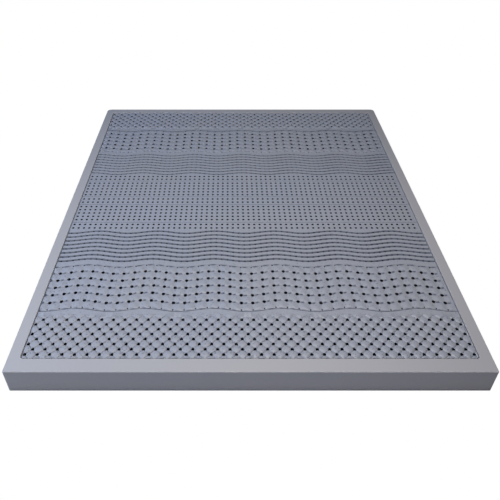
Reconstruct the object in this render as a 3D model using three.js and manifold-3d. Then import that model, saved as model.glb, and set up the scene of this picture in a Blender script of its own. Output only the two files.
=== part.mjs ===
// A moulded latex mattress core, lying flat: one piece of foam with a plain raised rim round a sunk field.
// The field is moulded in zones: diamond rows of pin holes at both ends, waves of holes, wavy ribs and a
// plain middle. Both halves are alike, so each zone is described once, by its distance from the middle.
// Sizes are in millimetres, with X across the bed, Y along it from foot to head, and +Z up. The origin is
// the middle of the underside.
import * as THREE from 'three';
import { mergeGeometries, mergeVertices } from 'three/addons/utils/BufferGeometryUtils.js';
import Module from 'manifold-3d';

const wasm = await Module();
wasm.setup();

// The block
const WIDTH = 1800;
const LENGTH = 2000;
const THICKNESS = 115;
const HEAD_CORNER = 24; // radius of the two corners at the head
const FOOT_CORNER = 5;
const EDGE_ROUND = 2;

// The sunk field and the plain rim round it
const SIDE_RIM = 46;
const END_RIM = 54;
const FIELD_SHIFT = 6; // the field lies this much nearer to the head than to the foot
const FIELD_CORNER = 8;
const FIELD_HALF_WIDTH = WIDTH / 2 - SIDE_RIM;
const FIELD_HALF_LENGTH = LENGTH / 2 - END_RIM;
const BAND_DROP = 4.5; // from the rim's top to the plain bands and the ribs
const END_ZONE_DROP = 6; // from the rim's top to the floor of the diamond rows at both ends

// The wave that the lines of the field follow: one column of holes is a sixth of a wave
const COLUMN_PITCH = 46.75;
const COLUMNS = 36;
const WAVE_LENGTH = 6 * COLUMN_PITCH;
const WAVE_HEIGHT = 8;

// Distances from the middle of the field to each of its lines, before the wave is added
const FIRST_RIB_GROOVE = 245.6;
const RIB_PITCH = 26.85;
const RIB_GROOVES = 8;
const WAVY_ZONE = { seam: 718, firstRow: 510.5, rowPitch: 41.1, rows: 5 };
const END_ZONE = { start: 747, firstRow: 768, rowPitch: 22.95, rows: 8 };
const MIDDLE_GROOVES = [33, 173];

// Sections of the grooves: how wide they are at the level of the ribs, and how deep
const RIB_GROOVE = { width: 7, depth: 8 };
const SEAM_GROOVE = { width: 5, depth: 7 };
const THIN_GROOVE = { width: 3, depth: 2.5 };
const GROOVE_END_GAP = 0.5; // grooves stop this far from the rim's wall
const OVERCUT = 4; // how far a pocket or a pin stands out above the face that it cuts

// Pin holes: the pins of the mould leave blind holes, six-sided here
const PIN_RADIUS = 7;
const PIN_SIDES = 6;
const PIN_FLOOR = 35; // height of the foam left under a pin hole
const PIN_SKIP = 2; // every second column and row of holes is cut

const topOf = (drop) => THICKNESS - drop;

function waveAt(x) {
  return WAVE_HEIGHT * Math.cos((2 * Math.PI * x) / WAVE_LENGTH);
}

// A rectangle in plan with round corners, which may be rounder at the head than at the foot
function roundedRectangle(halfWidth, halfLength, head, foot) {
  const shape = new THREE.Shape();
  shape.moveTo(halfWidth, halfLength - head);
  shape.absarc(halfWidth - head, halfLength - head, head, 0, Math.PI / 2);
  shape.absarc(head - halfWidth, halfLength - head, head, Math.PI / 2, Math.PI);
  shape.absarc(foot - halfWidth, foot - halfLength, foot, Math.PI, (3 * Math.PI) / 2);
  shape.absarc(halfWidth - foot, foot - halfLength, foot, (3 * Math.PI) / 2, 2 * Math.PI);
  shape.closePath();
  return shape;
}

// A closed geometry as a solid that can be joined and cut
function solidOf(geometry) {
  const bare = geometry.index ? geometry.toNonIndexed() : geometry.clone();
  bare.deleteAttribute('normal');
  bare.deleteAttribute('uv');
  const merged = mergeVertices(bare, 1e-4);
  return new wasm.Manifold(new wasm.Mesh({
    numProp: 3,
    vertProperties: new Float32Array(merged.attributes.position.array),
    triVerts: new Uint32Array(merged.index.array),
  }));
}

function geometryOf(solid) {
  const mesh = solid.getMesh();
  const geometry = new THREE.BufferGeometry();
  geometry.setAttribute('position', new THREE.BufferAttribute(mesh.vertProperties, 3));
  geometry.setIndex(new THREE.BufferAttribute(mesh.triVerts, 1));
  geometry.computeVertexNormals();
  return geometry;
}

// The outer block, with its long edges rounded over
function block() {
  const inset = EDGE_ROUND;
  const outline = roundedRectangle(
    WIDTH / 2 - inset, LENGTH / 2 - inset, HEAD_CORNER - inset, FOOT_CORNER - inset,
  );
  const geometry = new THREE.ExtrudeGeometry(outline, {
    depth: THICKNESS - 2 * EDGE_ROUND,
    bevelThickness: EDGE_ROUND,
    bevelSize: EDGE_ROUND,
    bevelSegments: 2,
    curveSegments: 4,
  });
  return solidOf(geometry.translate(0, 0, EDGE_ROUND));
}

// A pocket over the whole field, from a given drop under the rim's top to above the rim
function fieldPocket(drop) {
  const outline = roundedRectangle(FIELD_HALF_WIDTH, FIELD_HALF_LENGTH, FIELD_CORNER, FIELD_CORNER);
  const geometry = new THREE.ExtrudeGeometry(outline, {
    depth: drop + OVERCUT, bevelEnabled: false, curveSegments: 3,
  });
  return solidOf(geometry.translate(0, 0, topOf(drop)));
}

// Points across the field, one at each column of holes; the outermost two lie at the given reach
function stepsAcross(reach) {
  const last = COLUMNS / 2;
  const steps = [];
  for (let step = -last; step <= last; step += 1) {
    steps.push(Math.abs(step) === last ? Math.sign(step) * reach : step * COLUMN_PITCH);
  }
  return steps;
}

// The floor of an end zone, from its wavy edge out past the end of the field
function endZoneCutter(side) {
  const reach = WIDTH / 2;
  const edge = stepsAcross(reach).map((x) => new THREE.Vector2(x, side * (END_ZONE.start + waveAt(x))));
  const end = [reach, -reach].map((x) => new THREE.Vector2(x, (side * LENGTH) / 2));
  const outline = new THREE.Shape([...edge, ...end]);
  const geometry = new THREE.ExtrudeGeometry(outline, { depth: THICKNESS, bevelEnabled: false });
  return solidOf(geometry);
}

// The path of a groove across the field, straight or following the wave, in even steps of its points
class GroovePath extends THREE.Curve {
  constructor(points) {
    super();
    this.points = points;
  }

  getPoint(t, target = new THREE.Vector3()) {
    const place = t * (this.points.length - 1);
    const index = Math.min(Math.floor(place), this.points.length - 2);
    return target.lerpVectors(this.points[index], this.points[index + 1], place - index);
  }

  getPointAt(u, target) {
    return this.getPoint(u, target);
  }

  getTangentAt(u, target) {
    return this.getTangent(u, target);
  }
}

// A V-shaped groove: its section's first axis points down and its second across the groove
function groove(distance, side, wavy, section) {
  const profile = new THREE.Shape([
    new THREE.Vector2(section.depth, 0),
    new THREE.Vector2(0, section.width / 2),
    new THREE.Vector2(0, -section.width / 2),
  ]);
  const reach = FIELD_HALF_WIDTH - GROOVE_END_GAP;
  const across = wavy ? stepsAcross(reach) : [-reach, reach];
  const points = across.map((x) => {
    const wave = wavy ? waveAt(x) : 0;
    return new THREE.Vector3(x, side * (distance + wave), topOf(BAND_DROP));
  });
  const path = new GroovePath(points);
  return solidOf(new THREE.ExtrudeGeometry(profile, { steps: points.length - 1, extrudePath: path }));
}

// The places of the pin holes in one end zone: a diamond lattice, thinned to every second hole
function endZoneHoles(side) {
  const holes = [];
  for (let row = END_ZONE.rows - 1; row > 0; row -= PIN_SKIP) {
    const first = ((END_ZONE.rows - 1 - row) / PIN_SKIP) % 2;
    for (let column = first; column <= COLUMNS; column += PIN_SKIP) {
      const x = (column - COLUMNS / 2) * COLUMN_PITCH;
      holes.push([x, side * (END_ZONE.firstRow + row * END_ZONE.rowPitch)]);
    }
  }
  return holes;
}

// The places of the pin holes in one wavy zone, thinned in the same way
function wavyZoneHoles(side) {
  const holes = [];
  for (let row = 0; row < WAVY_ZONE.rows; row += PIN_SKIP) {
    for (let column = 0; column < COLUMNS; column += PIN_SKIP) {
      const x = (column + 0.5 - COLUMNS / 2) * COLUMN_PITCH;
      const distance = WAVY_ZONE.firstRow + row * WAVY_ZONE.rowPitch + waveAt(x);
      holes.push([x, side * distance]);
    }
  }
  return holes;
}

function pins(places) {
  const height = THICKNESS + OVERCUT - PIN_FLOOR;
  const pin = new THREE.CylinderGeometry(PIN_RADIUS, PIN_RADIUS, height, PIN_SIDES);
  pin.rotateX(Math.PI / 2).translate(0, 0, PIN_FLOOR + height / 2);
  return solidOf(mergeGeometries(places.map(([x, y]) => pin.clone().translate(x, y, 0))));
}

// What one half of the mould cuts out of the field, round the field's own middle
function halfFieldCutters(side) {
  const cutters = [
    fieldPocket(END_ZONE_DROP).intersect(endZoneCutter(side)),
    groove(WAVY_ZONE.seam, side, true, SEAM_GROOVE),
    pins([...endZoneHoles(side), ...wavyZoneHoles(side)]),
  ];
  for (let rib = 0; rib < RIB_GROOVES; rib += 1) {
    cutters.push(groove(FIRST_RIB_GROOVE + rib * RIB_PITCH, side, true, RIB_GROOVE));
  }
  for (const distance of MIDDLE_GROOVES) {
    cutters.push(groove(distance, side, false, THIN_GROOVE));
  }
  return cutters;
}

function core() {
  const cutters = [fieldPocket(BAND_DROP), ...halfFieldCutters(-1), ...halfFieldCutters(1)];
  return cutters.reduce(
    (solid, cutter) => solid.subtract(cutter.translate(0, FIELD_SHIFT, 0)),
    block(),
  );
}

// Undyed grey latex, matt with a faint skin
const latex = new THREE.MeshStandardMaterial({
  name: 'latex', color: 0xa3a8b4, roughness: 0.55, metalness: 0,
});

const coreMesh = new THREE.Mesh(geometryOf(core()), latex);
coreMesh.name = 'core';

const mattress = new THREE.Group();
mattress.name = 'latex_mattress';
mattress.add(coreMesh);

export default mattress;
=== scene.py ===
# %% [markdown]
# # A moulded latex mattress core
#
# The real object is one block of latex foam. Liquid latex is poured into a flat mould, whose lid carries
# thousands of pins and the reliefs of pillows, waves and ribs. When the foam is stripped out, the pins leave
# holes and the reliefs leave a sunk, patterned field with a plain raised rim round it.
#
# The pattern could be a bump in the material of a plain box. But the holes and grooves are real depths,
# which catch light and cast shadow from every side, so they have to be in the mesh. In this lesson the whole
# block is made as one closed mesh. The frame gives its size.

# %% Load the frame
import math

import bmesh
import bpy
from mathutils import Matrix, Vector
from mathutils.geometry import delaunay_2d_cdt


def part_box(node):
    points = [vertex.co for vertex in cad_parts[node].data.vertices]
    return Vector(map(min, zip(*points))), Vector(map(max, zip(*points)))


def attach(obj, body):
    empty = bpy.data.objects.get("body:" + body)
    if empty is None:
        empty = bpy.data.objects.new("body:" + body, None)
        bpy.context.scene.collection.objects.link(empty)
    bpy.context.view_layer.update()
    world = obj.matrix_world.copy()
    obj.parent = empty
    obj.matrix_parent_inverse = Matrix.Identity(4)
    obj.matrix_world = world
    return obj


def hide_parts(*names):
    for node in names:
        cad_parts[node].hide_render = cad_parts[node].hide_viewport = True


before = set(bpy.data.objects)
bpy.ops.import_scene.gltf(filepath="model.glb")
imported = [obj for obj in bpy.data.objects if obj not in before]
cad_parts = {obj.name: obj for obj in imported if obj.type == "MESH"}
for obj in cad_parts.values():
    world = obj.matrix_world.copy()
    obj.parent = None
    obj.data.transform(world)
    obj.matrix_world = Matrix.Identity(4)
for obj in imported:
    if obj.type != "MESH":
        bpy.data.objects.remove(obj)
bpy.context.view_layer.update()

bpy.ops.object.select_all(action="DESELECT")
low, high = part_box("core")
half_width = (high[0] - low[0]) / 2
half_length = (high[1] - low[1]) / 2
thickness = high[2] - low[2]
print(f"core: {2 * half_width:.3f} x {2 * half_length:.3f} x {thickness:.3f} m")

# %% [markdown]
# ## How the field is laid out
#
# Seen from above, the field is a pattern of zones. Both halves of the bed are alike, so each zone is
# described once, by its distance from the middle line across the bed. Most lines of the pattern follow one
# wave: it is six columns of holes long, and a line at a distance d lies at d + wave(x).
#
# The place of each hole could be typed in, but a mould maker lays out a mould with a few pitches and levels,
# and this lesson does the same. All sizes are real ones, for a bed of 1.8 by 2 metres.

# %% The rim and the levels of the field
MM = 0.001

SIDE_RIM = 46 * MM
END_RIM = 51 * MM
FIELD_SHIFT = 7 * MM  # the mould's field lies a little nearer to the head
FIELD_CORNER = 8 * MM
GUTTER_WIDTH = 3 * MM  # a narrow gutter runs round the field at the foot of the rim's wall
field_half_width = half_width - SIDE_RIM - GUTTER_WIDTH
field_half_length = half_length - END_RIM - GUTTER_WIDTH

BAND_LEVEL = thickness - 4.5 * MM  # plain bands and ribs
END_GROUND = thickness - 7 * MM  # between the diamond pillows of both ends
END_PILLOW = 5 * MM
WAVY_GROUND = thickness - 6.5 * MM  # between the soft pillows of the wavy zones
WAVY_PILLOW = 4 * MM
GUTTER_LEVEL = thickness - 8 * MM
print(f"field: {2 * field_half_width:.3f} x {2 * field_half_length:.3f} m")

# %% The wave and the columns
COLUMN_PITCH = 46.75 * MM
COLUMNS = 36
COLUMN_SHIFT = -1.5 * MM  # the columns of pins are not quite in the middle
WAVE_LENGTH = 6 * COLUMN_PITCH
WAVE_HEIGHT = 8 * MM
FINE_PITCH = 26 * MM  # columns of the ribs and of the middle zone
FINE_COLUMNS = 65
FINE_SHIFT = -5.5 * MM


def wave(x):
    return WAVE_HEIGHT * math.cos(2 * math.pi * (x - COLUMN_SHIFT) / WAVE_LENGTH)


print(f"wave: {WAVE_LENGTH / MM:.0f} mm long, {2 * WAVE_HEIGHT / MM:.0f} mm from crest to trough")

# %% Distances of the lines from the middle of the field
MIDDLE_ROWS = [d * MM for d in (13.3, 50, 75, 101.5, 127.5, 153, 189.7, 215.4)]
MIDDLE_GROOVES = [d * MM for d in (33, 173)]
RIB_GROOVES = [(245.6 + 26.85 * k) * MM for k in range(8)]
WAVY_FIRST_ROW = 510 * MM
WAVY_ROW_PITCH = 41.1 * MM
WAVY_ROWS = 5
WAVY_START = WAVY_FIRST_ROW - WAVY_ROW_PITCH
START_HOLE_LINE = WAVY_START + 4.2 * MM  # small holes where the wavy zone starts
SEAM = 718 * MM
SEAM_HOLE_LINE = SEAM - 7.4 * MM  # small holes where it ends
END_START = 747 * MM
END_FIRST_ROW = 768 * MM
END_ROW_PITCH = 22.95 * MM
END_ROWS = 8
print(f"rows in each half: {len(MIDDLE_ROWS)} plain, {len(RIB_GROOVES)} in rib grooves, "
      f"{WAVY_ROWS} wavy, {END_ROWS} in diamonds")

# %% Sections of the grooves: half their width, and their depth
RIB_GROOVE = (6 * MM, 10 * MM)
SEAM_GROOVE = (3.2 * MM, 9 * MM)
DASH = (3.4 * MM, 7 * MM)
DASH_MIDDLE = -0.25  # a dash lies nearer to the hole on its left, measured in halves of a column
DASH_REACH = 0.42  # half the length of a dash, as a share of half a column
THIN_GROOVE = (1.6 * MM, 2.5 * MM)
EDGE_STEP = 1.3 * MM  # width of the small steps at the edges of the plain bands
print(f"rib grooves: {2 * RIB_GROOVE[0] / MM:.0f} mm wide, {RIB_GROOVE[1] / MM:.0f} mm deep")

# %% [markdown]
# ## The height of the surface
#
# The relief could be sculpted, or pushed up by a Displace modifier, but both need a dense even mesh. Here
# one function gives the height of the moulded surface at any place of the field, so a point can be put
# wherever the shape needs one, and nowhere else.
#
# A diamond pillow of the end zones is a dome, steep at its edge and nearly flat on top, like foam that fills
# a shallow cavity. `pillow` gets the place in the cell, with 0 in the middle and 1 at the edges. A higher
# roundness number squares the corners of the cell. The pillows of the wavy zones are softer: the foam swells
# between two columns of holes and sinks into a shallow valley along each column. A dash is the short crease
# between two holes of a row.

# %% A pillow and a groove
END_ROUNDNESS = 4
WAVY_ROUNDNESS = 3


def pillow(a, b, roundness):
    return math.sqrt(max(0.0, 1 - abs(a) ** roundness - abs(b) ** roundness))


def groove_depth(offset, section):
    half, depth = section
    return depth * max(0.0, 1 - abs(offset) / half)


def to_nearest_even(value):
    return value - 2 * round(value / 2)


print(f"diamond pillow: {END_PILLOW * pillow(0, 0, END_ROUNDNESS) / MM:.1f} mm high")


# %% The surface of a diamond zone
def end_height(x, away):
    column = 2 * (x - COLUMN_SHIFT) / COLUMN_PITCH
    row = (away - END_FIRST_ROW) / END_ROW_PITCH
    a = to_nearest_even(column + row)
    b = to_nearest_even(column - row)
    return END_GROUND + END_PILLOW * pillow(a, b, END_ROUNDNESS)


print(f"diamond zone: {end_height(0, END_FIRST_ROW) / MM:.1f} mm high at the middle of its first row")


# %% The surface of a wavy zone
def wavy_surface(x, along):
    """The height, and how far down a dash the place lies, from 0 at the edge to 1 at the bottom."""
    a = to_nearest_even(2 * (x - COLUMN_SHIFT) / COLUMN_PITCH)
    b = to_nearest_even(2 * (along - WAVY_START) / WAVY_ROW_PITCH - 1)
    swell = (1 + math.cos(math.pi * a)) / 2
    height = WAVY_GROUND + WAVY_PILLOW * swell * pillow(0, b, WAVY_ROUNDNESS)
    offset = min((1 - abs(b)) * WAVY_ROW_PITCH / 2, abs(along - START_HOLE_LINE))
    dash = groove_depth(offset, DASH) * max(0.0, 1 - abs(a - DASH_MIDDLE) / DASH_REACH)
    return height - dash, dash / DASH[1]


wavy_middle = WAVY_FIRST_ROW + WAVY_ROW_PITCH / 2
print(f"wavy zone: {wavy_surface(COLUMN_SHIFT, wavy_middle)[0] / MM:.1f} mm high on a pillow")


# %% The surface zone by zone
def field_surface(x, y):
    """The height, and how far down a groove the place lies, from 0 at the edge to 1 at the bottom."""
    away = abs(y)
    along = away - wave(x)
    if along > END_START + EDGE_STEP / 2:
        return end_height(x, away), 0.0
    if along > SEAM:
        depth = groove_depth(along - SEAM, SEAM_GROOVE)
        return BAND_LEVEL - depth, depth / SEAM_GROOVE[1]
    if along > SEAM - SEAM_GROOVE[0]:
        blend = (SEAM - along) / SEAM_GROOVE[0]
        bottom = BAND_LEVEL - SEAM_GROOVE[1]
        return bottom + blend * (wavy_surface(x, along)[0] - bottom), 1 - blend
    if along > WAVY_START - EDGE_STEP / 2:
        return wavy_surface(x, along)
    if along > RIB_GROOVES[0] - RIB_GROOVE[0]:
        depth = max(groove_depth(along - d, RIB_GROOVE) for d in RIB_GROOVES)
        return BAND_LEVEL - depth, depth / RIB_GROOVE[1]
    depth = max(groove_depth(away - d, THIN_GROOVE) for d in MIDDLE_GROOVES)
    return BAND_LEVEL - depth, depth / THIN_GROOVE[1]


seam_bottom = field_surface(0, SEAM + wave(0))[0]
print(f"seam: its bottom lies {(thickness - seam_bottom) / MM:.1f} mm under the rim's top")

# %% [markdown]
# ## The plan
#
# The surface could be a dense even grid, but then every hole would be ragged and the mesh huge. Insetting
# and extruding the faces of a coarse grid would leave square holes in straight rows, and cutting thousands
# of pins out of a block with booleans would be slow and leave slivers.
#
# Instead the pattern is drawn as a plan of points and lines, as a mould maker would draw it: rings for the
# holes, lines along each groove and a few points on each pillow. A constrained Delaunay triangulation then
# joins them all, keeping every ring and line.

# %% A sheet to draw on
NEAR = 1 * MM  # nearer to the border than this, a line has no point of its own


class Plan:
    def __init__(self):
        self.points = []
        self.lines = []
        self.rings = []
        self.ends = []

    def point(self, x, y):
        self.points.append((x, y))
        return len(self.points) - 1

    def line(self, numbers):
        self.lines.extend(zip(numbers, numbers[1:]))

    def hole(self, x, y, radius, sides, depth, turn=0.0):
        steps = [turn + 2 * math.pi * k / sides for k in range(sides)]
        ring = [self.point(x + radius * math.cos(t), y + radius * math.sin(t)) for t in steps]
        self.line(ring + ring[:1])
        self.rings.append((ring, (x, y), depth))
        return ring

    def across(self, distance, side, wavy, steps):
        """A line from one side of the field to the other, through the given steps of x."""
        edge = field_half_width
        spots = [-edge] + [x for x in steps if abs(x) < edge - NEAR] + [edge]
        numbers = [self.point(x, side * (distance + (wave(x) if wavy else 0))) for x in spots]
        self.line(numbers)
        self.ends += [self.points[numbers[0]], self.points[numbers[-1]]]


plan = Plan()
print(f"plan: an empty sheet, {2 * field_half_width:.3f} m across")

# %% [markdown]
# ### Pin holes
#
# The pins of the mould leave blind holes, which end well above the underside. A hole could be a round
# cylinder, but there are thousands of them, so each gets only as many sides as it needs to look round: eight
# in the diamond, wavy and middle zones, and six for the small ones in the rib grooves and along the edges of
# the wavy zones.

# %% Sizes of the holes
END_HOLE = 6.7 * MM
WAVY_HOLE = 7.8 * MM
MIDDLE_HOLE = 5.9 * MM
RIB_HOLE = 5.2 * MM
SEAM_HOLE = 3.5 * MM
LARGE_DEPTH = 80 * MM
SMALL_DEPTH = 40 * MM
HOLE_TAPER = 0.85  # how much narrower a hole is at its floor
LARGE_SIDES = 8
SMALL_SIDES = 6
WALL_GAP = 0.8 * MM  # the outermost pins are thinner where the gutter leaves too little room
print(f"holes: from {2 * SEAM_HOLE / MM:.1f} to {2 * WAVY_HOLE / MM:.1f} mm across")

# %% [markdown]
# ### The diamond zone at both ends
#
# Holes lie where the row and column numbers add up to an odd number, and pillows where they add up to an
# even one, as on a chessboard. Creases join each hole to its four diagonal neighbours. One pillow could be
# modelled and copied as a tile, but the wavy edge of the zone would cut through the tiles. So the creases
# and the points of each pillow are drawn one by one, and what falls outside the zone is left out.

# %% Spots on a diamond pillow
PILLOW_EDGE_SPOTS = [(a, b) for a in (-0.89, 0.89) for b in (-0.48, 0, 0.48)]
PILLOW_MIDDLE_SPOTS = [(0, 0), (-0.66, 0), (0.66, 0), (0, -0.66), (0, 0.66),
                       (-0.5, -0.5), (-0.5, 0.5), (0.5, -0.5), (0.5, 0.5)]
END_SPOTS = PILLOW_EDGE_SPOTS + [(b, a) for a, b in PILLOW_EDGE_SPOTS] + PILLOW_MIDDLE_SPOTS
print(f"diamond pillow: {len(END_SPOTS)} points")

# %% Places in the diamond zone
LINE_GAP = 1.5 * MM  # how far loose points and the ends of creases stay from the border of their zone


def end_place(column, row, side):
    return COLUMN_SHIFT + column * COLUMN_PITCH / 2, side * (END_FIRST_ROW + row * END_ROW_PITCH)


def in_end_zone(x, y):
    inside = abs(x) < field_half_width - LINE_GAP
    away = abs(y)
    return inside and END_START + wave(x) + EDGE_STEP + LINE_GAP < away < field_half_length - LINE_GAP


def is_end_hole(column, row):
    return (column + row) % 2 == 1 and 0 <= row < END_ROWS and abs(column) <= COLUMNS


end_lattice = [(column, row) for row in range(END_ROWS) for column in range(-COLUMNS, COLUMNS + 1)]
print(f"diamond zone: {sum(is_end_hole(*corner) for corner in end_lattice)} holes")

# %% A crease of the diamond zone
CREASE_TRIES = 24  # steps along a crease, to find how much of it lies in the zone


def end_crease(start, stop, side):
    """A crease from one lattice corner to a diagonal neighbour, from hole to hole or to the border."""
    (x0, y0), (x1, y1) = end_place(*start, side), end_place(*stop, side)
    span = math.hypot(x1 - x0, y1 - y0)
    first = END_HOLE / span if is_end_hole(*start) else 0.0
    last = 1 - END_HOLE / span if is_end_hole(*stop) else 1.0
    shares = [first + (last - first) * k / CREASE_TRIES for k in range(CREASE_TRIES + 1)]
    inside = [t for t in shares if in_end_zone(x0 + t * (x1 - x0), y0 + t * (y1 - y0))]
    if len(inside) < 3:  # too short to draw
        return
    marks = [inside[0], (inside[0] + inside[-1]) / 2, inside[-1]]
    plan.line([plan.point(x0 + t * (x1 - x0), y0 + t * (y1 - y0)) for t in marks])


crease_length = math.hypot(COLUMN_PITCH / 2, END_ROW_PITCH)
print(f"crease: {(crease_length - 2 * END_HOLE) / MM:.1f} mm long between two holes")

# %% Draw the diamond zones
ROWS_BEFORE = 2  # pillows reach this many rows past the first holes, up to the wavy edge


def draw_end_zone(side):
    for row in range(-ROWS_BEFORE, END_ROWS + 1):
        for column in range(-COLUMNS - 1, COLUMNS + 2):
            x, y = end_place(column, row, side)
            if (column + row) % 2 == 1:
                if is_end_hole(column, row):
                    radius = min(END_HOLE, field_half_width - WALL_GAP - abs(x))
                    plan.hole(x, y, radius, LARGE_SIDES, LARGE_DEPTH)
                end_crease((column, row), (column + 1, row + 1), side)
                end_crease((column, row), (column + 1, row - 1), side)
                continue
            for a, b in END_SPOTS:
                spot = end_place(column + (a + b) / 2, row + (a - b) / 2, side)
                if in_end_zone(*spot):
                    plan.point(*spot)


for side in (-1, 1):
    draw_end_zone(side)
print(f"diamond zones: {len(plan.rings)} holes, {len(plan.points)} points")

# %% [markdown]
# ### The wavy zone of soft pillows
#
# Five rows of holes follow the wave, with soft square pillows between them. Two more rows of pins are half
# hidden by the plain bands, so they leave only small holes at the zone's borders. The rows could be made
# straight and bent with a Lattice, but adding the wave to each point gives the same shape in one step, and
# the columns stay where they are.

# %% Spots on a wavy pillow
EDGE_SPOTS = [(0.875, 0), (0.9, 0.42), (0.9, -0.42), (0.7, 0.7)]
INNER_SPOTS = [(0.72, 0), (0.52, 0.52), (0.38, 0)]
VALLEY_SPOTS = (-0.42, 0, 0.42)
DASH_SPOTS = (DASH_MIDDLE - 0.3, DASH_MIDDLE, DASH_MIDDLE + 0.38)  # where it starts, is deepest and ends


def quarter_turns(spots):
    turned = []
    for a, b in spots:
        turned += [(a, b), (-b, a), (-a, -b), (b, -a)]
    return turned


WAVY_SPOTS = quarter_turns(EDGE_SPOTS + INNER_SPOTS) + [(0, 0)]
print(f"wavy pillow: {len(WAVY_SPOTS)} points")

# %% Points and holes on the wave
HOLE_COLUMNS = [COLUMN_SHIFT + (k + 0.5 - COLUMNS / 2) * COLUMN_PITCH for k in range(COLUMNS)]
PILLOW_COLUMNS = [x - COLUMN_PITCH / 2 for x in HOLE_COLUMNS] + [HOLE_COLUMNS[-1] + COLUMN_PITCH / 2]
HALF_COLUMN = COLUMN_PITCH / 2
START_ROW = -1  # the row of small holes where the zone starts
side_limit = field_half_width - LINE_GAP


def wavy_point(x, along, side):
    return plan.point(x, side * (along + wave(x)))


def wavy_hole(x, along, side, radius, sides, depth):
    """A round hole on a wavy line. Its first point is on the right and half way round is the left one."""
    return plan.hole(x, side * (along + wave(x)), radius, sides, depth)


print(f"wavy zone: {len(HOLE_COLUMNS)} columns of holes, {len(PILLOW_COLUMNS)} of pillows")


# %% Holes of the wavy zone
def draw_wavy_holes(side):
    """The rings of the holes, by row and column."""
    rings = {}
    for row in range(WAVY_ROWS):
        along = WAVY_FIRST_ROW + row * WAVY_ROW_PITCH
        for k, x in enumerate(HOLE_COLUMNS):
            rings[row, k] = wavy_hole(x, along, side, WAVY_HOLE, LARGE_SIDES, LARGE_DEPTH)
    for k, x in enumerate(HOLE_COLUMNS):
        wavy_hole(x, SEAM_HOLE_LINE, side, SEAM_HOLE, SMALL_SIDES, SMALL_DEPTH)
        rings[START_ROW, k] = wavy_hole(x, START_HOLE_LINE, side, SEAM_HOLE, SMALL_SIDES, SMALL_DEPTH)
    return rings


print(f"wavy zone: {(WAVY_ROWS + 2) * len(HOLE_COLUMNS)} holes")


# %% Dashes of the wavy zone
def draw_dashes(side, rings):
    """A line along each row, from the right of one hole to the left of the next."""
    for row in range(START_ROW, WAVY_ROWS):
        along = START_HOLE_LINE if row == START_ROW else WAVY_FIRST_ROW + row * WAVY_ROW_PITCH
        for k, x in enumerate(PILLOW_COLUMNS):
            spots = [x + s * HALF_COLUMN for s in DASH_SPOTS if abs(x + s * HALF_COLUMN) < side_limit]
            numbers = [wavy_point(spot, along, side) for spot in spots]
            left, right = rings.get((row, k - 1)), rings.get((row, k))
            start = [left[0]] if left else []
            stop = [right[len(right) // 2]] if right else []
            plan.line(start + numbers + stop)
            if row == START_ROW:
                for spot in spots:
                    wavy_point(spot, along + DASH[0], side)


print(f"dash: {2 * DASH_REACH * HALF_COLUMN / MM:.1f} mm long")


# %% Pillows of the wavy zone
def draw_wavy_pillows(side):
    lowest = WAVY_START + LINE_GAP / 2
    highest = SEAM - SEAM_GROOVE[0] - LINE_GAP / 2
    for row in range(WAVY_ROWS + 1):
        along = WAVY_FIRST_ROW + (row - 0.5) * WAVY_ROW_PITCH
        for x in HOLE_COLUMNS:
            marks = [along + s * WAVY_ROW_PITCH / 2 for s in VALLEY_SPOTS]
            plan.line([wavy_point(x, mark, side) for mark in marks])
        for x in PILLOW_COLUMNS:
            for a, b in WAVY_SPOTS:
                spot, mark = x + a * HALF_COLUMN, along + b * WAVY_ROW_PITCH / 2
                if abs(spot) < side_limit and lowest < mark < highest:
                    wavy_point(spot, mark, side)


before = len(plan.points)
for side in (-1, 1):
    draw_dashes(side, draw_wavy_holes(side))
    draw_wavy_pillows(side)
print(f"wavy zones: {len(plan.points) - before} points")

# %% [markdown]
# ### Ribs, middle rows, seams and bands
#
# The ribs are what is left between eight V-shaped grooves, each with a row of small holes along its bottom.
# The middle of the bed is plain, with straight rows of holes and two thin grooves on each side. A groove
# could be swept along a curve and cut out, but as three lines in the plan, one along each edge and one along
# the bottom, it joins the holes and the bands without a gap.

# %% Steps along the lines
WAVY_STEPS = [COLUMN_SHIFT + k * COLUMN_PITCH / 4 for k in range(-2 * COLUMNS - 1, 2 * COLUMNS + 2)]
FINE_STEPS = [FINE_SHIFT + k * FINE_PITCH / 2 for k in range(-FINE_COLUMNS, FINE_COLUMNS + 1)]
STRAIGHT_STEPS = FINE_STEPS[::4]  # a straight line needs few points
FINE_SPOTS = [FINE_SHIFT + (k - FINE_COLUMNS // 2) * FINE_PITCH for k in range(FINE_COLUMNS)]
print(f"fine columns: {len(FINE_SPOTS)}, from {FINE_SPOTS[0]:.3f} to {FINE_SPOTS[-1]:.3f} m")


# %% A plain groove, and a rib groove with its holes
def draw_groove(distance, section, side, wavy, steps):
    for offset in (-section[0], 0, section[0]):
        plan.across(distance + offset, side, wavy, steps)


def draw_rib_groove(distance, side):
    half = RIB_GROOVE[0]
    plan.across(distance - half, side, True, FINE_STEPS)
    plan.across(distance + half, side, True, FINE_STEPS)
    bottom = [wavy_point(-field_half_width, distance, side)]
    plan.ends.append(plan.points[bottom[0]])
    for x in FINE_SPOTS:
        ring = wavy_hole(x, distance, side, RIB_HOLE, SMALL_SIDES, SMALL_DEPTH)
        plan.line(bottom + [ring[SMALL_SIDES // 2]])
        bottom = [ring[0], wavy_point(x + FINE_PITCH / 2, distance, side)]
    bottom.append(wavy_point(field_half_width, distance, side))
    plan.line(bottom)
    plan.ends.append(plan.points[bottom[-1]])


print(f"ribs: {(RIB_GROOVES[1] - RIB_GROOVES[0] - 2 * RIB_GROOVE[0]) / MM:.1f} mm wide on top")

# %% Draw them in both halves
MIDDLE_TURN = math.pi / LARGE_SIDES  # the holes of the middle rows have flat sides towards each other

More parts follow.
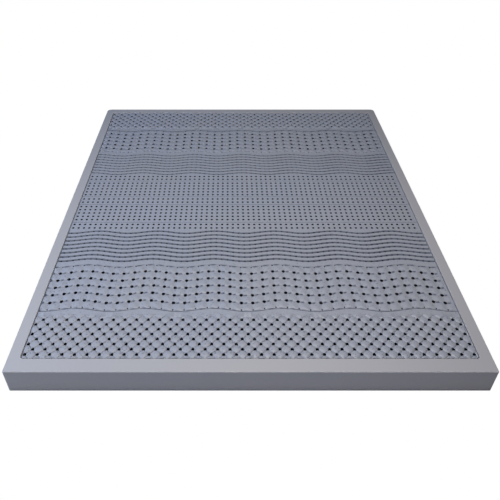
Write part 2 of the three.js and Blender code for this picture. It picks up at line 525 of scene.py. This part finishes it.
for side in (-1, 1):
    for distance in RIB_GROOVES:
        draw_rib_groove(distance, side)
    for distance in MIDDLE_GROOVES:
        draw_groove(distance, THIN_GROOVE, side, False, STRAIGHT_STEPS)
    for distance in MIDDLE_ROWS:
        for x in FINE_SPOTS:
            plan.hole(x, side * distance, MIDDLE_HOLE, LARGE_SIDES, SMALL_DEPTH, MIDDLE_TURN)
    draw_groove(SEAM, SEAM_GROOVE, side, True, WAVY_STEPS)
    plan.across(WAVY_START - EDGE_STEP, side, True, WAVY_STEPS)
    plan.across(WAVY_START, side, True, WAVY_STEPS)
    plan.across(END_START, side, True, WAVY_STEPS)
    plan.across(END_START + EDGE_STEP, side, True, WAVY_STEPS)
print(f"plan: {len(plan.rings)} holes, {len(plan.points)} points, {len(plan.lines)} lines")

# %% [markdown]
# ### The border of the field
#
# Every line that crosses the field ends on its border, so the border takes up those ends. A plain rectangle
# would leave gaps between them and the wall of the rim. Between the ends the border has points of its own,
# close enough to follow the pillows. Each border point also keeps the way outwards, because the wall of the
# rim is built from it later.

# %% One side and one corner of the border
BORDER_STEP = COLUMN_PITCH / 4
CORNER_STEPS = 4
SAME_PLACE = MM / 100


def side_stops(x):
    """Places along one side, from the foot to the head."""
    reach = field_half_length - FIELD_CORNER
    fixed = sorted(y for end, y in plan.ends if abs(end - x) < NEAR)
    stops = [-reach]
    for y in [*fixed, reach]:
        gap = y - stops[-1]
        if gap < SAME_PLACE:
            continue
        pieces = max(1, round(gap / BORDER_STEP))
        start = stops[-1]
        stops += [start + gap * (k + 1) / pieces for k in range(pieces - 1)] + [y]
    return stops


def corner_points(x, y, start):
    turns = [start + math.pi / 2 * k / CORNER_STEPS for k in range(1, CORNER_STEPS)]
    return [((x + FIELD_CORNER * math.cos(t), y + FIELD_CORNER * math.sin(t)),
             (math.cos(t), math.sin(t))) for t in turns]


print(f"one side of the border: {len(side_stops(field_half_width))} points")


# %% The border
def border_points():
    """Pairs of a border point and its way outwards, counterclockwise."""
    in_x = field_half_width - FIELD_CORNER
    in_y = field_half_length - FIELD_CORNER
    count = round(2 * in_x / BORDER_STEP)
    across = [-in_x + 2 * in_x * k / count for k in range(count + 1)]
    right = [((field_half_width, y), (1, 0)) for y in side_stops(field_half_width)]
    top = [((x, field_half_length), (0, 1)) for x in reversed(across)]
    left = [((-field_half_width, y), (-1, 0)) for y in reversed(side_stops(-field_half_width))]
    bottom = [((x, -field_half_length), (0, -1)) for x in across]
    return (right + corner_points(in_x, in_y, 0) + top + corner_points(-in_x, in_y, math.pi / 2)
            + left + corner_points(-in_x, -in_y, math.pi) + bottom
            + corner_points(in_x, -in_y, 3 * math.pi / 2))


border = border_points()
border_numbers = [plan.point(x, y) for (x, y), way in border]
plan.line(border_numbers + border_numbers[:1])
print(f"border: {len(border)} points")

# %% [markdown]
# ## From plan to mesh
#
# Blender's Fill would pick its own edges between the points. The constrained triangulation keeps every line
# of the plan instead. It fills the whole plan, holes included: a triangle whose corners all lie on one ring
# is the lid of a hole, so it is left out.
#
# The mould's columns of pins are not quite even: left of the middle they wander a little to the left. That
# drift is added after the triangulation, so the plan itself can stay even.

# %% Triangulate
MERGE_GAP = 1e-7
INSIDE_CONSTRAINTS = 1  # keep only what lies inside the border

coordinates = [Vector(p) for p in plan.points]
flat, _, triangles, origins, _, _ = delaunay_2d_cdt(
    coordinates, plan.lines, [], INSIDE_CONSTRAINTS, MERGE_GAP, True)
number_of = {old: new for new, olds in enumerate(origins) for old in olds}
added = sum(1 for olds in origins if not olds)
print(f"triangulated: {len(flat)} points, {len(triangles)} triangles, {added} crossings")

# %% The drift of the columns
DRIFT = 3 * MM
DRIFT_MIDDLE = -220 * MM
DRIFT_WIDTH = 280 * MM


def drifted(x):
    return x - DRIFT * math.exp(-((x - DRIFT_MIDDLE) / DRIFT_WIDTH) ** 2)


print(f"drift at the middle of the bed: {drifted(0) / MM:.1f} mm")

# %% Drop the lids of the holes
ring_of = {}
for index, (ring, _, _) in enumerate(plan.rings):
    for number in ring:
        ring_of[number_of[number]] = index


def is_lid(triangle):
    owners = {ring_of.get(number) for number in triangle}
    return len(owners) == 1 and None not in owners


surface = [tuple(t) for t in triangles if not is_lid(t)]
heights, grooves = zip(*(field_surface(p.x, p.y) for p in flat))
vertices = [(drifted(p.x), p.y + FIELD_SHIFT, height) for p, height in zip(flat, heights)]
print(f"surface: {len(surface)} triangles, {len(triangles) - len(surface)} lids left out")

# %% [markdown]
# ### Walls and floors of the holes
#
# Each ring is carried down to the floor of its hole, a little narrower there, as a pin has to be to come
# out of the foam. By hand this would be an extrude and a scale for every hole. Here one loop makes the walls
# and floors from the rings of the plan, and marks them as a part of their own for the finish.

# %% Sink the holes
RIM_PART, FIELD_PART, HOLE_PART = 0, 1, 2
faces = list(surface)
parts = [FIELD_PART] * len(faces)
for ring, (middle_x, middle_y), depth in plan.rings:
    mouth = [number_of[number] for number in ring]
    floor = []
    for number in ring:
        x, y = plan.points[number]
        floor.append(len(vertices))
        vertices.append((drifted(middle_x) + (x - middle_x) * HOLE_TAPER,
                         middle_y + (y - middle_y) * HOLE_TAPER + FIELD_SHIFT, thickness - depth))
    sides = len(mouth)
    for k in range(sides):
        after = (k + 1) % sides
        faces.append((mouth[k], floor[k], floor[after], mouth[after]))
    faces.append(tuple(floor))
parts += [HOLE_PART] * (len(faces) - len(parts))
print(f"with holes: {len(vertices)} points")

# %% [markdown]
# ### The rim, the sides and the underside
#
# From the border the surface drops into the gutter, rises up the rim's wall and turns over a small round
# edge onto the rim. The outside of the block is the same kind of profile, carried round an outline with
# round corners. The two corners at the head are rounder than those at the foot.
#
# The block could be a bevelled box joined to the field, but its inner edge would have to meet every point of
# the border. So each point of a profile becomes a loop of points round the block, and loops are joined by
# quads. A narrow flat strip beside each round edge keeps the smooth shading of the edge off the large faces.

# %% Sizes of the edges
TOP = thickness
RIM_EDGE = 1.6 * MM
BLOCK_EDGE = 2 * MM
HEAD_CORNER = 24 * MM
FOOT_CORNER = 5 * MM
BLOCK_CORNER_STEPS = 10
EDGE_TURNS = (math.pi / 6, math.pi / 3, math.pi / 2)
FLAT_STRIP = 1 * MM
GUTTER_FOOT = 0.1 * GUTTER_WIDTH  # the gutter's inner wall leans by this much
print(f"edges: {RIM_EDGE / MM:.1f} mm round the field, {BLOCK_EDGE / MM:.1f} mm round the block")


# %% Profiles: how far outwards, and how high
def rim_profile():
    gutter = [(GUTTER_FOOT, GUTTER_LEVEL), (GUTTER_WIDTH, GUTTER_LEVEL)]
    over = [(GUTTER_WIDTH + RIM_EDGE * (1 - math.cos(t)), TOP - RIM_EDGE * (1 - math.sin(t)))
            for t in (0, *EDGE_TURNS)]
    return gutter + over + [(GUTTER_WIDTH + RIM_EDGE + FLAT_STRIP, TOP)]


def block_profile():
    """From the rim's top over the outer edge, down the side and under."""
    over = [(-BLOCK_EDGE * (1 - math.sin(t)), TOP - BLOCK_EDGE * (1 - math.cos(t)))
            for t in (0, *EDGE_TURNS)]
    over = [(-BLOCK_EDGE - FLAT_STRIP, TOP), *over, (0, TOP - BLOCK_EDGE - FLAT_STRIP)]
    under = [(out, TOP - height) for out, height in reversed(over)]
    return over + under


print(f"profiles: {len(rim_profile())} points for the rim, {len(block_profile())} for the block")


# %% Loops of points
def add_loop(spots, out, height, shift=0.0):
    start = len(vertices)
    for (x, y), (way_x, way_y) in spots:
        vertices.append((x + out * way_x, y + out * way_y + shift, height))
    return list(range(start, start + len(spots)))


def join_loops(first, second):
    count = len(first)
    for k in range(count):
        after = (k + 1) % count
        faces.append((first[k], first[after], second[after], second[k]))


loop = [number_of[number] for number in border_numbers]
print(f"first loop: {len(loop)} points on the border of the field")

# %% The wall of the recess
gutter = []
for out, height in rim_profile():
    next_loop = add_loop(border, out, height, FIELD_SHIFT)
    join_loops(loop, next_loop)
    loop = next_loop
    if height == GUTTER_LEVEL:
        gutter += next_loop
rim_inner = loop
print(f"rim wall: {len(rim_inner)} points round")


# %% The outline of the block
def block_outline():
    """Pairs of a point on the block's outline and its way outwards, counterclockwise."""
    spots = []
    corners = [(1, 1, HEAD_CORNER), (-1, 1, HEAD_CORNER), (-1, -1, FOOT_CORNER), (1, -1, FOOT_CORNER)]
    for quarter, (side_x, side_y, radius) in enumerate(corners):
        x = side_x * (half_width - radius)
        y = side_y * (half_length - radius)
        turns = [(k / BLOCK_CORNER_STEPS, 0) for k in range(BLOCK_CORNER_STEPS + 1)]
        for share, along in [(0, -FLAT_STRIP), *turns, (1, FLAT_STRIP)]:
            t = math.pi / 2 * (quarter + share)
            way = (math.cos(t), math.sin(t))
            spot = (x + radius * way[0] - along * way[1], y + radius * way[1] + along * way[0])
            spots.append((spot, way))
    return spots


outline = block_outline()
print(f"outline: {len(outline)} points")

# %% The outside of the block
loop = None
for out, height in block_profile():
    next_loop = add_loop(outline, out, height)
    if loop is None:
        rim_outer = next_loop
    else:
        join_loops(next_loop, loop)
    loop = next_loop
faces.append(tuple(reversed(loop)))
print(f"with the outside: {len(vertices)} points, {len(faces)} faces")

# %% The flat top of the rim
rim_numbers = rim_inner + rim_outer
rim_flat = [Vector(vertices[number][:2]) for number in rim_numbers]
inner_count = len(rim_inner)
rim_lines = [(k, (k + 1) % inner_count) for k in range(inner_count)]
outer_count = len(rim_outer)
rim_lines += [(inner_count + k, inner_count + (k + 1) % outer_count) for k in range(outer_count)]
_, _, rim_triangles, rim_origins, _, _ = delaunay_2d_cdt(
    rim_flat, rim_lines, [], INSIDE_CONSTRAINTS, MERGE_GAP, True)
for triangle in rim_triangles:
    numbers = [rim_origins[k][0] for k in triangle]
    if max(numbers) >= inner_count:  # the others fill the field, which has its surface already
        faces.append(tuple(rim_numbers[k] for k in numbers))
print(f"rim top: {len(rim_triangles)} triangles before the field is left out")

# %% [markdown]
# ### One closed mesh
#
# The points and faces could stay apart as field, rim and sides, but the real core is one piece, so they
# become one mesh. Two attributes go with it, because the finish has to follow the surface: `part` says for
# each face whether it is rim, field or hole, and `groove` says for each point how deep in a groove it lies,
# which sets how much painted shade its colour gets. The gutter is given part of a groove's depth, so it gets
# the same painted shade.
#
# The mesh is closed, with no open edge, so its volume can be measured. Angles under 50 degrees are smoothed,
# which rounds the pillows and edges and keeps the rims of the holes sharp.

# %% How deep in a groove each point lies, for the painted shade
# painted shade along the gutter at the foot of the rim's wall: a share of a groove's depth, enough for the
# darkest shade
GUTTER_SHADE = 0.45
shades = list(grooves) + [0.0] * (len(vertices) - len(grooves))
for number in gutter:
    shades[number] = GUTTER_SHADE
print(f"gutter: {len(gutter)} points")


# %% Make the mesh
def build_core():
    mesh = bpy.data.meshes.new("latex_core")
    mesh.from_pydata(vertices, [], faces)
    part = mesh.attributes.new("part", "FLOAT", "FACE")
    part.data.foreach_set("value", parts + [RIM_PART] * (len(faces) - len(parts)))
    # how deep each point lies in a groove, which sets how much painted shade its colour gets
    groove = mesh.attributes.new("groove", "FLOAT", "POINT")
    groove.data.foreach_set("value", shades)
    mesh.validate()
    shape = bmesh.new()
    shape.from_mesh(mesh)
    loose = [v for v in shape.verts if not v.link_faces]
    bmesh.ops.delete(shape, geom=loose, context="VERTS")
    bmesh.ops.recalc_face_normals(shape, faces=shape.faces[:])
    open_edges = sum(1 for edge in shape.edges if len(edge.link_faces) != 2)
    print(f"core: {len(loose)} loose points dropped, {open_edges} open edges, "
          f"{shape.calc_volume():.4f} cubic metres")
    shape.to_mesh(mesh)
    shape.free()
    mesh.calc_loop_triangles()
    print(f"core: {len(mesh.loop_triangles)} triangles")
    piece = bpy.data.objects.new("latex_core", mesh)
    bpy.context.scene.collection.objects.link(piece)
    return piece


core = build_core()

# %% Smooth it by angle
SMOOTH_ANGLE = math.radians(50)
bpy.ops.object.select_all(action="DESELECT")
core.select_set(True)
bpy.context.view_layer.objects.active = core
bpy.ops.object.shade_smooth_by_angle(angle=SMOOTH_ANGLE)
core.select_set(False)
sharp_edges = core.data.attributes["sharp_edge"].data
print(f"core: {sum(edge.value for edge in sharp_edges)} of {len(sharp_edges)} edges stay sharp")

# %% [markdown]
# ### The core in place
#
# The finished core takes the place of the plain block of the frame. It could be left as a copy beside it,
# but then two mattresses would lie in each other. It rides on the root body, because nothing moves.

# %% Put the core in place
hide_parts("core")
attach(core, "root")
print(f"{core.name}: on the root body, in place of the core")

# %% [markdown]
# ## The finish
#
# Moulded latex has a satin skin, light on the rim and a little darker and bluer in the field. It is not
# even: the colour drifts over the bed and small dark specks lie in the field. The creases, grooves, gutter
# and holes are painted darker as well: that is painted shade, for the little light that comes out of them.
#
# The colours could be painted on an image, but an image of so large a face would be coarse. Instead they
# are mixed in the material from the two attributes of the mesh and from noise on Object coordinates, so they
# stay sharp from near by.

# %% The colours
RIM_COLOR = (0.455, 0.458, 0.487, 1)
RIM_WARM_COLOR = (0.46, 0.457, 0.484, 1)
FIELD_COLOR = (0.365, 0.392, 0.462, 1)
FIELD_WARM_COLOR = (0.375, 0.393, 0.445, 1)
# painted shade: the colour that creases, grooves and the gutter darken to
CREASE_SHADE_COLOR = (0.16, 0.185, 0.25, 1)
# painted shade: the near black of the walls and floors of the holes
HOLE_SHADE_COLOR = (0.025, 0.029, 0.038, 1)
SPECK_COLOR = (0.20, 0.215, 0.27, 1)
# from this share of a groove's depth on, the painted shade is at its darkest
DARKEST_DEPTH = 0.4  # the share of a groove's depth from which on its colour is darkest

latex = bpy.data.materials.new("latex")
latex.use_nodes = True
nodes = latex.node_tree.nodes
shader = nodes["Principled BSDF"]
print(f"{latex.name}: a new material for the skin")


# %% Helpers that join nodes
def node(kind, **values):
    made = nodes.new(kind)
    for name, value in values.items():
        setattr(made, name, value)
    return made


def link(source, target):
    latex.node_tree.links.new(source, target)


def mix_color(factor, first, second):
    mix = node("ShaderNodeMix", data_type="RGBA")
    link(factor, mix.inputs["Factor"])
    for socket, value in ((mix.inputs["A"], first), (mix.inputs["B"], second)):
        if isinstance(value, tuple):
            socket.default_value = value
        else:
            link(value, socket)
    return mix.outputs["Result"]


def ramp(source, low, high, start=0.0, stop=1.0):
    """From start to stop while the source goes from low to high."""
    spread = node("ShaderNodeMapRange")
    for name, value in (("From Min", low), ("From Max", high), ("To Min", start), ("To Max", stop)):
        spread.inputs[name].default_value = value
    link(source, spread.inputs["Value"])
    return spread.outputs["Result"]


print(f"{latex.name}: {len(nodes)} nodes to start with")

# %% Noise on the core's own coordinates
TONE = {"scale": 1.7, "detail": 3}  # clouds over the whole bed
SPECKS = {"scale": 190, "detail": 0}
SHEEN = {"scale": 6, "detail": 2}
GRAIN = {"scale": 420, "detail": 3}
place = node("ShaderNodeTexCoord").outputs["Object"]


def noise(scale, detail):
    made = node("ShaderNodeTexNoise")
    made.inputs["Scale"].default_value = scale
    made.inputs["Detail"].default_value = detail
    link(place, made.inputs["Vector"])
    return made.outputs["Fac"]


print(f"specks: one in about {1000 / SPECKS['scale']:.0f} mm")

# %% Join the colours
TONE_RANGE = (0.35, 0.65)
SPECK_RANGE = (0.68, 0.76)  # only the highest peaks of the noise become specks
part = node("ShaderNodeAttribute", attribute_name="part").outputs["Fac"]
groove = node("ShaderNodeAttribute", attribute_name="groove").outputs["Fac"]
tone = ramp(noise(**TONE), *TONE_RANGE)
speck = ramp(noise(**SPECKS), *SPECK_RANGE)
field_color = mix_color(speck, mix_color(tone, FIELD_COLOR, FIELD_WARM_COLOR), SPECK_COLOR)
rim_color = mix_color(tone, RIM_COLOR, RIM_WARM_COLOR)
surface_color = mix_color(ramp(part, RIM_PART, FIELD_PART), rim_color, field_color)
# painted shade: the colour darkens down the creases, grooves and the gutter
surface_color = mix_color(ramp(groove, 0, DARKEST_DEPTH), surface_color, CREASE_SHADE_COLOR)
# painted shade: the walls and floors of the holes near black
all_color = mix_color(ramp(part, FIELD_PART, HOLE_PART), surface_color, HOLE_SHADE_COLOR)
link(all_color, shader.inputs["Base Color"])
print(f"{latex.name}: {len(nodes)} nodes for its colour")

# %% The skin
SHEEN_RANGE = (0.3, 0.7)
ROUGHNESS = (0.42, 0.50)  # satin, a little uneven
GRAIN_STRENGTH = 0.25
GRAIN_DEPTH = 0.3 * MM

link(ramp(noise(**SHEEN), *SHEEN_RANGE, *ROUGHNESS), shader.inputs["Roughness"])
skin = node("ShaderNodeBump")
skin.inputs["Strength"].default_value = GRAIN_STRENGTH
skin.inputs["Distance"].default_value = GRAIN_DEPTH
link(noise(**GRAIN), skin.inputs["Height"])
link(skin.outputs["Normal"], shader.inputs["Normal"])
core.data.materials.append(latex)
print(f"{latex.name}: roughness from {ROUGHNESS[0]} to {ROUGHNESS[1]}")

# %% [markdown]
# ## The stage
#
# The core lies on a plain pale floor in a studio. An evenly lit floor could be got with many lamps, but they
# would wash out the low relief of the field. Here the floor and the world look white to the camera alone,
# while the light that falls on the core bounces off a grey floor as in a real room.

# %% Floor
FLOOR_SIZE = 12
FLOOR_PAINT = (0.6, 0.6, 0.6, 1)

bpy.ops.mesh.primitive_plane_add(size=FLOOR_SIZE)
floor = bpy.context.object
floor.name = "floor"
paint = bpy.data.materials.new("floor_paint")
paint.use_nodes = True
paint_nodes = paint.node_tree.nodes
paint_nodes["Principled BSDF"].inputs["Base Color"].default_value = FLOOR_PAINT
glow = paint_nodes.new("ShaderNodeEmission")
path = paint_nodes.new("ShaderNodeLightPath")
choice = paint_nodes.new("ShaderNodeMixShader")
join = paint.node_tree.links.new
join(path.outputs["Is Camera Ray"], choice.inputs["Fac"])
join(paint_nodes["Principled BSDF"].outputs["BSDF"], choice.inputs[1])
join(glow.outputs["Emission"], choice.inputs[2])
join(choice.outputs["Shader"], paint_nodes["Material Output"].inputs["Surface"])
floor.data.materials.append(paint)
print(f"floor: {FLOOR_SIZE} m wide")

# %% World
WHITE = (1, 1, 1, 1)

world = bpy.data.worlds.new("world")
bpy.context.scene.world = world
world.use_nodes = True
world_nodes = world.node_tree.nodes
backdrop = world_nodes["Background"]
world_path = world_nodes.new("ShaderNodeLightPath")
world.node_tree.links.new(world_path.outputs["Is Camera Ray"], backdrop.inputs["Strength"])
backdrop.inputs["Color"].default_value = WHITE
print("world: white to the camera, dark to everything else")

# %% [markdown]
# ### Camera and light
#
# The camera looks down on the bed from behind its foot end, from about eye height. It stands near and has a
# fairly wide lens, so the sides of the bed run together towards the head. Turning the camera would bring the
# core into the middle of the frame, but it would also change how fast they do, so the frame is shifted.
#
# One sun would show the block, but the relief of the field is only millimetres high and needs soft light
# from a few sides. A warm lamp over the foot end lights the whole bed, a cool one high at the left and back
# draws the grooves, and three weak ones at the left and front fill the front face.

# %% Camera
SENSOR = 36
LENS = 37.41
CAMERA_PLACE = (-0.077, -2.129, 1.791)
CAMERA_TILT = math.radians(55.72)
SHIFT_ACROSS = 0.0414
SHIFT_UP = -0.17

camera_data = bpy.data.cameras.new("camera")
camera_data.sensor_width = SENSOR
camera_data.lens = LENS
camera_data.shift_x = SHIFT_ACROSS
camera_data.shift_y = SHIFT_UP
camera = bpy.data.objects.new("camera", camera_data)
camera.location = CAMERA_PLACE
camera.rotation_euler = (CAMERA_TILT, 0, 0)
bpy.context.scene.collection.objects.link(camera)
bpy.context.scene.camera = camera
print(f"camera: {CAMERA_PLACE[2]:.2f} m high, with a lens of {LENS} mm")

# %% Light
LAMPS = [  # name, place, aim, width in metres, power in watts, colour
    ("ceiling", (0, -0.75, 2.9), (0, -0.3, 0), 1.0, 58, (1.0, 0.94, 0.87)),
    ("left_back", (-2.2, 0.6, 3.0), (0, -0.3, 0), 1.0, 32, (0.33, 0.57, 1.0)),
    ("left_side", (-2.2, -1.0, 0.8), (0, -0.5, 0), 0.8, 12, (1.0, 1.0, 1.0)),
    ("front_left", (-0.8, -2.8, 1.1), (0, -0.7, 0), 0.7, 5, (0.38, 0.60, 1.0)),
    ("front_right", (0.5, -2.8, 1.1), (0, -0.7, 0), 0.7, 2.8, (0.92, 0.86, 1.0)),
]
bpy.context.scene.view_settings.view_transform = "Standard"


def area_light(name, place, aim, size, power, color):
    data = bpy.data.lights.new(name, "AREA")
    data.size = size
    data.energy = power
    data.color = color
    light = bpy.data.objects.new(name, data)
    light.location = place
    way = Vector(aim) - Vector(place)
    light.rotation_euler = way.to_track_quat("-Z", "Y").to_euler()
    bpy.context.scene.collection.objects.link(light)


for lamp in LAMPS:
    area_light(*lamp)
print(f"lamps: {len(LAMPS)}")
